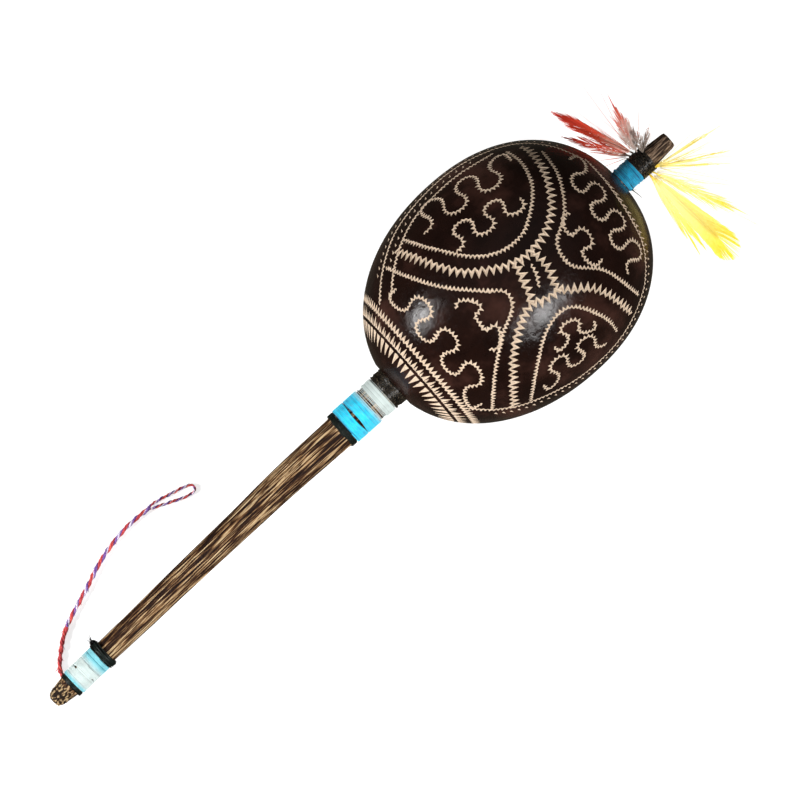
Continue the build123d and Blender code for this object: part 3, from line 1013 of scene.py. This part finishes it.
def make_crown(blue, black):
    winding("crown_thread_tangle", blue, [
        core_sleeve(306.5, 308.3, CROWN_BORE, 4.9),
        wound_thread(306.4, 308.4, 5.3, 0.38, rough=0.5, spacing=1.3),
        *crossing_turns(306.4, 308.4, 5.6, 0.34, 5),
    ])
    winding("crown_winding_blue", blue, [
        core_sleeve(308.4, 314.1, CROWN_BORE, 5.1),
        wound_thread(308.4, 314.2, 5.3, 0.36, rough=0.12),
        *crossing_turns(308.4, 314.2, 5.55, 0.36, 7),
    ])
    winding("crown_winding_black", black, [
        core_sleeve(314.3, 321.1, CROWN_BORE, 4.85),
        wound_thread(314.2, 321.2, 5.2, 0.64, rough=0.4),
        *crossing_turns(314.2, 321.2, 5.6, 0.52, 16),
    ])


def thread_material(
    name, bright, dark, faded=None, wear_and_glint=None, roughness=0.6, sheen=0.12, specular=0.3, relief=0.06
):
    """Wound thread: its tone changes from turn to turn, with fine fibres on each; some has faded to
    white, and some has pale specks, partly wear and partly painted glints."""
    material, tree = new_material(name)
    place = place_mm(tree)
    patches = noise(tree, place, 0.35, 2, 0.5)
    fibres = noise(tree, place, 6.0, 2, 0.6)
    # painted shade: each turn is lighter on its crest and darker on its sides and on the ground between the turns;
    # the same attribute also carries each turn's own tone
    factor = weighted(tree, (patches, 0.4), (fibres, 0.2), (attribute(tree, "shade_and_tone"), 0.30))
    colour = ramp(tree, factor, (0.10, *(0.35 * value for value in dark)), (0.32, *dark), (0.52, *bright))
    if faded:
        white = ramp(tree, factor, (0.10, *(0.5 * value for value in faded)), (0.45, *faded))
        colour = mixed(tree, attribute(tree, "pale"), colour, white)
    if wear_and_glint:
        # pale specks: partly worn thread, partly painted glints that stand in for highlights on the strands
        wear_and_glint_specks = ramp(tree, noise(tree, place, 1.5, 3, 0.7), (0.55, 0, 0, 0), (0.66, 1, 1, 1))
        colour = mixed(tree, wear_and_glint_specks, colour, wear_and_glint)
    surface(
        tree, Base_Color=colour, Roughness=roughness, Normal=bump(tree, fibres, 0.5, relief),
        Sheen_Weight=sheen, Specular_IOR_Level=specular,
    )
    return material


def resin_material():
    material, tree = new_material("black_resin")
    lumps = bump(tree, noise(tree, place_mm(tree), 1.3, 3, 0.6), 1.0, 0.5)
    surface(tree, Base_Color=(0.005, 0.008, 0.006, 1), Roughness=0.34, Specular_IOR_Level=0.12, Normal=lumps)
    return material


FADED_WHITE = (0.62, 0.70, 0.68)
blue_thread = thread_material("blue_thread", (0.010, 0.66, 0.90), (0.002, 0.34, 0.62), faded=FADED_WHITE)
white_thread = thread_material("white_thread", FADED_WHITE, (0.50, 0.57, 0.55))
cyan_thread = thread_material("cyan_thread", (0.22, 0.62, 0.70), (0.07, 0.40, 0.50), faded=FADED_WHITE)
NEAR_BLACK = (0.001, 0.001, 0.001)
# its pale specks are partly wear and partly painted glints
black_thread = thread_material(
    "black_thread", (0.012, 0.009, 0.006), NEAR_BLACK, wear_and_glint=(0.11, 0.085, 0.055),
    roughness=0.26, sheen=0.0, specular=0.4, relief=0.10,
)
tail_cord = thread_material(
    "tail_cord", (0.006, 0.011, 0.009), NEAR_BLACK, roughness=0.36, sheen=0.0, relief=0.10
)
crown_blue = thread_material("crown_blue", (0.012, 0.36, 0.58), (0.002, 0.10, 0.24))
make_stick(palm_wood_material())
make_neck(blue_thread, white_thread, black_thread, resin_material())
make_tail(cyan_thread, tail_cord)
make_crown(crown_blue, black_thread)


# --- loose thread ends ---
def tapered_tube(points, widths, sides=5):
    """Points and faces of a tube with a width at each point; its section never twists sharply."""
    tangents = tangents_of(points)
    across = np.cross(tangents[0], (0.3, 0.2, 1.0))
    section = np.linspace(0, TURN, sides, endpoint=False)
    rings = []
    for centre, tangent, width in zip(points, tangents, widths):
        across = unit(across - tangent * (across @ tangent))
        rings.append(centre + width / 2 * circle(section, across, np.cross(tangent, across)))
    faces = grid_faces(len(points), sides)
    faces.append(tuple(range(sides - 1, -1, -1)))
    faces.append(tuple(range((len(points) - 1) * sides, len(points) * sides)))
    return np.vstack(rings), faces


HAIR_STEPS, HAIR_SIDES = 7, 4


def curved_hair(root, direction, length, droop, width):
    """A thin thread that leaves root in a direction and bends as it goes."""
    u = np.linspace(0, 1, HAIR_STEPS)[:, None]
    points = root + length * (u * np.asarray(direction) + u**2 * np.asarray(droop))
    return tapered_tube(points, np.linspace(width, width * 0.25, HAIR_STEPS), HAIR_SIDES)


# Where the knot sits on the upper black turns: its station, how far round the stick and how far out.
KNOT_STATION, KNOT_AROUND, KNOT_RADIUS = 27.6, math.radians(20), 6.3
KNOT_HAIRS = 16


def make_tail_knot(material):
    """A small overhand knot on the upper black turns, with its frayed ends."""
    place, along, side, up = axis_frame(KNOT_STATION)
    out = circle(KNOT_AROUND, side, up)
    over = np.cross(along, out)
    centre = place + KNOT_RADIUS * out
    turn = np.linspace(0, TURN * 1.1, 26)
    pieces = []
    for tilt, size in ((0.2, 1.1), (1.3, 1.0), (2.4, 0.9)):
        loop = centre + size * circle(turn, circle(tilt, along, over), 0.75 * out)
        loop += 0.15 * np.sin(2 * turn)[:, None] * over
        pieces.append(tapered_tube(loop, np.full(len(turn), 0.6), 6))
    for index in range(KNOT_HAIRS):
        spread = chance.normal(0, 0.55, 2)
        direction = unit(out + 0.35 * up + spread[0] * along + spread[1] * over)
        length = chance.uniform(1.4, 2.8) if index else 4.2
        pieces.append(curved_hair(centre + 0.5 * out, direction, length, chance.normal(0, 0.2, 3), 0.26))
    new_piece("tail_knot_ends", "tail_knot", *join(pieces), [material])


def make_crown_end(material):
    """The loose thread end that hangs from the turns against the gourd's top."""
    root = round_stick(307.6, math.pi, 5.3)
    pieces = [
        curved_hair(root, (0.25, -1.0, -0.1), 5.6, (-0.1, 0.02, 0.05), 0.55),
        curved_hair(root, (0.5, -0.8, 0.2), 2.6, (0.1, 0.2, 0.0), 0.35),
    ]
    new_piece("crown_loose_end", "crown_thread_end", *join(pieces), [material])


make_tail_knot(tail_cord)
make_crown_end(black_thread)


# --- feathers: each has quills, and barbs to both sides of them ---
def feather_frame(name):
    """Root in millimetres, and the directions forward along the surface and to the left."""
    joint = next(j for j in frame["joints"] if j["name"] == name + "_flex")
    left = np.array(joint["axis"], float)
    return np.array(joint["pos_m"]) / MM, np.cross(left, UP), left


# Colour, height angle, number of loose hairs and plumes of each feather. Each plume: degrees to the left,
# length, half width, share of the length where it is widest, number of barbs, how blunt its tip is (less is
# blunter) and how ragged it is.
FEATHERS = {
    "feather_red_long": ("red", 15, 12, [(0, 36.5, 2.2, 0.74, 240, 0.7, 0.6)]),
    "feather_red_low": ("red", 11, 9, [(0, 27.8, 2.6, 0.55, 90, 0.9, 0.8)]),
    "feather_red_upright": ("pale_red", 30, 14, [(0, 24.0, 3.0, 0.36, 150, 2.0, 0.6)]),
    "feather_grey_tuft": ("grey", 40, 6, [
        (0, 13.5, 0.9, 0.6, 20, 1.0, 0.6),
        (38, 9.5, 2.0, 0.6, 34, 1.0, 0.9),
    ]),
    "feather_yellow_broad": ("yellow", -25, 6, [
        (0, 50.0, 5.7, 0.86, 440, 0.5, 0.15),
        (-18, 38.5, 1.6, 0.5, 60, 1.2, 0.5),
        (-13, 39.0, 1.9, 0.5, 80, 1.2, 0.4),
    ]),
    "feather_yellow_mid": ("yellow", -15, 12, [(0, 39.5, 2.8, 0.6, 84, 1.0, 0.95)]),
    "feather_yellow_wispy": ("yellow", 0, 24, [
        (0, 29.5, 0.8, 0.5, 18, 1.2, 0.9),
        (-9, 32.0, 0.5, 0.5, 10, 1.2, 0.9),
        (22, 33.5, 0.6, 0.5, 14, 1.2, 0.9),
    ]),
}
# Each colour: the strength of its painted glow, which stands for light that shines through, and its stops from the
# root to the tip.
FEATHER_COLOURS = {
    "red": (0.03, [
        (0.10, 0.50, 0.40, 0.33), (0.30, 0.70, 0.32, 0.24), (0.46, 0.64, 0.055, 0.022),
        (1.0, 0.46, 0.016, 0.008),
    ]),
    "pale_red": (0.05, [
        (0.10, 0.38, 0.30, 0.26), (0.48, 0.62, 0.44, 0.38), (0.66, 0.66, 0.13, 0.08),
        (1.0, 0.56, 0.05, 0.04),
    ]),
    "grey": (0.0, [(0.1, 0.20, 0.16, 0.13), (0.6, 0.34, 0.26, 0.22), (1.0, 0.42, 0.16, 0.13)]),
    "yellow": (0.2, [
        (0.0, 0.98, 0.66, 0.03), (0.15, 1.0, 0.88, 0.40), (0.55, 1.0, 0.85, 0.25),
        (0.8, 1.0, 0.76, 0.09), (1.0, 0.99, 0.66, 0.02),
    ]),
}
BARB_REACH = 0.24  # share of the plume's length that a barb runs forward
BARB_STEPS, BARB_SIDES = 6, 4
QUILL_STEPS, QUILL_SIDES = 14, 5
BROAD_PLUME = 3.0  # half width above which the barbs are thicker


def vane_width(u, widest, bluntness):
    """Half width of the vane at a share of its length, as a share of the greatest."""
    if u < widest:
        return (max(u, 0.0) / widest) ** 0.85
    return max(0.0, 1 - ((u - widest) / (1 - widest)) ** 2) ** bluntness


def clump_centres(starts, ragged):
    """Barbs hook together in clumps; gives each barb the middle of its clump."""
    centres = np.zeros(len(starts))
    first = 0
    while first < len(starts):
        size = int(chance.integers(4, 16))
        centres[first:first + size] = starts[first:first + size].mean()
        first += size
    return starts + (centres - starts) * min(0.9, 1.3 * ragged)


def plume(root, forward, left, up, length, half_width, widest, barbs, bluntness, ragged):
    """One quill with its barbs; returns tubes and, for each, how far out along the plume its points are."""
    bend = chance.normal(0, 0.02)

    def quill(share):
        return root + length * (share * forward + share**2 * bend * left)

    u = np.linspace(0, 0.94, QUILL_STEPS)
    tubes = [tapered_tube(quill(u[:, None]), np.linspace(0.8, 0.12, QUILL_STEPS), QUILL_SIDES)]
    tones = [np.repeat(u, QUILL_SIDES)]
    v = np.linspace(0, 1, BARB_STEPS)[:, None]
    thickness = 0.46 if half_width > BROAD_PLUME else 0.3
    for side in (1, -1):
        starts = np.linspace(0.03, 1.0 - BARB_REACH, barbs // 2)
        for start, tip in zip(starts, clump_centres(starts, ragged) + BARB_REACH):
            tip += ragged * 0.25 * abs(chance.normal(0, 0.3))
            width = half_width * vane_width(tip, widest, bluntness)
            width *= 1 + ragged * chance.normal(0, 0.35)
            lift = ragged * chance.normal(0, 0.06)
            reach = length * (tip - start)
            path = quill(start) + forward * reach * v**1.15
            path = path + left * side * width * v**0.7 + up * (lift * reach * v**2)
            thick = thickness * chance.uniform(0.8, 1.1)
            tubes.append(tapered_tube(path, thick * np.array([0.8, 1.0, 1.0, 0.95, 0.8, 0.25]), BARB_SIDES))
            tones.append(np.repeat(start + v[:, 0] * (tip - start), BARB_SIDES))
    return tubes, tones


def make_feather(name, material):
    _, rise, hairs, plumes = FEATHERS[name]
    root, forward, left = feather_frame(name)

    def heading(degrees_left, degrees_up):
        level = circle(math.radians(degrees_left), forward, left)
        return level, circle(math.radians(degrees_up), level, UP)

    tubes, tones = [], []
    for degrees_left, length, *vane in plumes:
        level, ahead = heading(degrees_left, rise)
        sideways = np.cross(UP, level)
        some_tubes, some_tones = plume(root, ahead, sideways, np.cross(ahead, sideways), length, *vane)
        tubes += some_tubes
        tones += some_tones
    longest = max(length for _, length, *_ in plumes)
    for _ in range(hairs):
        _, ahead = heading(chance.normal(2, 17), rise + max(1.0, chance.normal(4, 6)))
        length = longest * chance.uniform(0.45, 0.95)
        tubes.append(curved_hair(root + ahead * 2, ahead, length, 0.1 * chance.normal(0, 1, 3), 0.27))
        tones.append(np.repeat(np.linspace(0.3, 1, HAIR_STEPS), HAIR_SIDES))
    attributes = {"tone": np.concatenate(tones)}
    new_piece(name + "_barbs", name, *join(tubes), [material], body=name, attributes=attributes)


def feather_material(name, glow, stops):
    """Thin, soft barbs; tone runs from the root to the tip, and glow stands for light that shines through."""
    material, tree = new_material(name)
    tone = attribute(tree, "tone")
    patches = maths(tree, "SUBTRACT", noise(tree, place_mm(tree), 1.1, 2, 0.5), 0.5)
    colour = ramp(tree, weighted(tree, (tone, 1.0), (patches, 0.25)), *stops)
    surface(
        tree, Base_Color=colour, Roughness=0.6, Specular_IOR_Level=0.2,
        Subsurface_Weight=0.3, Subsurface_Radius=(0.002, 0.002, 0.002), Subsurface_Scale=0.5,
        Emission_Color=colour, Emission_Strength=glow,
    )
    return material


feather_looks = {
    colour: feather_material(colour + "_feather", *look) for colour, look in FEATHER_COLOURS.items()
}
for feather, (feather_colour, *_) in FEATHERS.items():
    make_feather(feather, feather_looks[feather_colour])


# --- seeds ---
def seed_material():
    """Hard black-brown seed coat."""
    material, tree = new_material("seed_coat")
    spots = noise(tree, place_mm(tree), 0.8, 2, 0.5)
    colour = ramp(tree, spots, (0.4, 0.010, 0.007, 0.005), (0.7, 0.045, 0.026, 0.016))
    surface(tree, Base_Color=colour, Roughness=0.22, Normal=bump(tree, spots, 0.2, 0.1))
    return material


seed_coat = seed_material()
for seed in (name for name in frame["nodes"] if name.startswith("seed_")):
    seed_mesh = bpy.data.objects[seed].data
    seed_mesh.materials.clear()
    seed_mesh.materials.append(seed_coat)


# --- wrist cord ---
# The routes of the CAD model: x and y from the stick's tail tip, and the height from the surface where it
# isn't that of a line that lies on it.
CORD_ROUTE = [
    (9.6, 4.95, 2.6), (9.9, 7.0, 1.6), (11.6, 10.0), (15.3, 13.8), (21.5, 19.0), (30.5, 23.4), (41.0, 27.2),
    (51.5, 31.9), (62.5, 34.9), (73.5, 36.3), (82.1, 35.6),
]
LOOP_ROUTE = [
    (82.4, 36.35), (86.5, 35.9), (91.0, 34.8), (97.2, 33.3), (100.6, 32.2), (101.3, 30.3), (99.9, 28.8),
    (96.9, 29.0), (92.0, 30.9), (87.0, 33.1), (84.4, 34.25), (82.4, 34.75),
]
CORD_DIAMETER, CORD_HEIGHT = 2.0, 1.05
LOOP_DIAMETER, LOOP_HEIGHT = 1.4, 0.75
PLY_COLOURS = ((0.46, 0.005, 0.011), (0.62, 0.04, 0.025), (0.14, 0.05, 0.32), (0.66, 0.60, 0.78))
RED_START = 0.27  # share of the cord's length over which both plies are red
# Broken yarns that stand off the cord: share of its length, side, length, colour.
BROKEN_YARNS = (
    (0.09, 1, 1.3, 1), (0.16, -1, 2.0, 1), (0.25, 1, 1.5, 0), (0.33, 1, 1.8, 3), (0.41, -1, 1.5, 0),
    (0.47, -1, 1.6, 3), (0.56, 1, 1.4, 1), (0.62, 1, 1.4, 2), (0.71, -1, 1.6, 3), (0.84, 1, 1.3, 1),
)


PLY_WIDTH = 0.74  # share of the cord's diameter
PLY_SPREAD = 1.15  # how much further apart the plies lie than round ones would
YARN_WIDTH = 0.56  # share of its ply's
YARN_LAY = 0.8  # share of its ply's lay length
YARN_SIDES = 6
CORD_STEP = 0.16


def cord_line(route, height):
    """Points in millimetres of the smooth line along a cord's route."""
    tail_tip = axis_frame(0.0)[0]
    curve = bpy.data.curves.new("route", "CURVE")
    curve.dimensions = "3D"
    curve.resolution_u = 20
    spline = curve.splines.new("NURBS")
    spline.points.add(len(route) - 1)
    for point, (x, y, *z) in zip(spline.points, route):
        place = np.array([tail_tip[0] + x, tail_tip[1] + y, *(z or [height])])
        point.co = (*(place * MM), 1)
    spline.order_u = 3
    spline.use_endpoint_u = True
    carrier = bpy.data.objects.new("route", curve)
    mesh = bpy.data.meshes.new_from_object(carrier)
    points = np.array([vertex.co for vertex in mesh.vertices]) / MM
    bpy.data.objects.remove(carrier)
    bpy.data.meshes.remove(mesh)
    bpy.data.curves.remove(curve)
    return points


def twisted_plies(line, diameter, lay_length, plies, red_start=0.0):
    """Plies laid round each other along a line; each is given as the colours of its yarns."""
    length = line_length(line)
    line = spaced(line, round(length / CORD_STEP))
    distance = np.linspace(0, length, len(line))
    tangents = tangents_of(line)
    across = unit(np.cross(tangents, UP))
    lift = np.cross(across, tangents)
    ply_width = PLY_WIDTH * diameter
    yarn_width = YARN_WIDTH * ply_width
    tubes, colours = [], []
    red = np.repeat(np.linspace(0, 1, len(line)) < red_start, YARN_SIDES)[:, None]
    for ply, yarns in enumerate(plies):
        phase = TURN * (distance / lay_length + ply / len(plies)) + wobble(len(line), 0.25, 30)
        ply_line = line + (diameter - ply_width) / 2 * PLY_SPREAD * circle(phase, across, lift)
        for yarn, colour in enumerate(yarns):
            spin = TURN * (distance / (lay_length * YARN_LAY) + yarn / len(yarns)) + ply
            path = ply_line + (ply_width - yarn_width) / 2 * circle(spin, across, lift)
            widths = yarn_width * (1 + wobble(len(path), 0.08, 8))
            tubes.append(tapered_tube(path, widths, YARN_SIDES))
            colours.append(np.where(red, PLY_COLOURS[yarn % 2], PLY_COLOURS[colour]))
    return tubes, colours


def frayed_ends(line, spots):
    """Short broken yarns that stand off a cord."""
    tubes, colours = [], []
    for share, side, length, colour in spots:
        index = int(share * (len(line) - 2))
        tangent = unit(line[index + 1] - line[index])
        across = np.cross(tangent, UP) * side
        start = line[index] + across * 0.5
        tubes.append(curved_hair(start, across * 0.55 - tangent, length, across * 0.15, 0.5))
        colours.append(np.tile(PLY_COLOURS[colour], (HAIR_STEPS * HAIR_SIDES, 1)))
    return tubes, colours


def make_cord(node_name, line, tubes, colours, material, start, **facts):
    attributes = {"dye": np.concatenate(colours)}
    made = new_piece(node_name + "_plies", node_name, *join(tubes), [material], attributes=attributes)


def cord_material():
    """Twisted dyed cotton; the colour is the yarn's own."""
    material, tree = new_material("cord_cotton")
    dye = attribute(tree, "dye", "Color")
    fibres = noise(tree, place_mm(tree), 5.0, 3, 0.6)
    colour = mixed(tree, maths(tree, "MULTIPLY", fibres, 0.12), dye, (0.62, 0.30, 0.34))
    surface(tree, Base_Color=colour, Roughness=0.7, Sheen_Weight=0.4, Normal=bump(tree, fibres, 0.6, 0.1))
    return material


def make_wrist_cord():
    material = cord_material()
    line = cord_line(CORD_ROUTE, CORD_HEIGHT)
    tubes, colours = twisted_plies(line, CORD_DIAMETER, 8.4, ((0, 1, 0), (2, 3, 2)), RED_START)
    more_tubes, more_colours = frayed_ends(line, BROKEN_YARNS)
    tubes, colours = tubes + more_tubes, colours + more_colours
    make_cord("wrist_cord", line, tubes, colours, material, line[0], length=0.083, diameter=0.002)
    loop = cord_line(LOOP_ROUTE, LOOP_HEIGHT)
    tubes, colours = twisted_plies(loop, LOOP_DIAMETER, 6.0, ((0, 1), (2, 3)))
    make_cord("wrist_loop", loop, tubes, colours, material, line[-1], length=0.041, diameter=0.0014)


make_wrist_cord()


# --- floor and light ---
FLOOR_REACH = 3.0  # metres to each side
LAMP_DISTANCE = 1.2  # metres from the gourd


def make_stage():
    mesh = bpy.data.meshes.new("floor")
    corners = [(x * FLOOR_REACH, y * FLOOR_REACH, 0) for x, y in ((-1, -1), (1, -1), (1, 1), (-1, 1))]
    mesh.from_pydata(corners, [], [(0, 1, 2, 3)])
    material, tree = new_material("pale_floor")
    surface(
        tree, Base_Color=(0.5, 0.5, 0.5, 1), Roughness=0.9,
        Emission_Color=(1, 1, 1, 1), Emission_Strength=0.72,
    )
    mesh.materials.append(material)
    floor = add_object("floor", mesh)
    floor.visible_glossy = False  # so that the dark gourd doesn't mirror a white floor at its edges


def area_light(name, towards, power, size):
    """A soft lamp that looks at the gourd; towards is right, up and out of the picture."""
    right, up, out = towards
    direction = unit(right * view_right + up * view_up + out * to_camera)
    data = bpy.data.lights.new(name, "AREA")
    data.energy = power
    data.shape = "DISK"
    data.size = size
    lamp = add_object(name, data)
    lamp.location = Vector(gourd_place * MM + direction * LAMP_DISTANCE)
    lamp.rotation_euler = Vector(direction).to_track_quat("Z", "Y").to_euler()


def make_light():
    world = bpy.data.worlds.new("studio")
    world.use_nodes = True
    tree = world.node_tree
    direction = node(tree, "ShaderNodeTexCoord").outputs["Generated"]
    height = node(tree, "ShaderNodeSeparateXYZ", {0: direction}).outputs["Z"]
    sky = ramp(tree, height, (0.0, 0.20, 0.18, 0.14), (0.55, 0.24, 0.23, 0.21), (1.0, 0.9, 0.9, 0.9))
    background = tree.nodes["Background"].inputs
    tree.links.new(sky, background["Color"])
    background["Strength"].default_value = 0.42
    bpy.context.scene.world = world
    area_light("window", (-0.87, -0.18, 0.46), 16.0, 0.18)
    area_light("softbox", (0.47, -0.48, 0.74), 14.5, 0.20)
    bpy.context.scene.view_settings.view_transform = "Standard"


make_stage()
make_light()
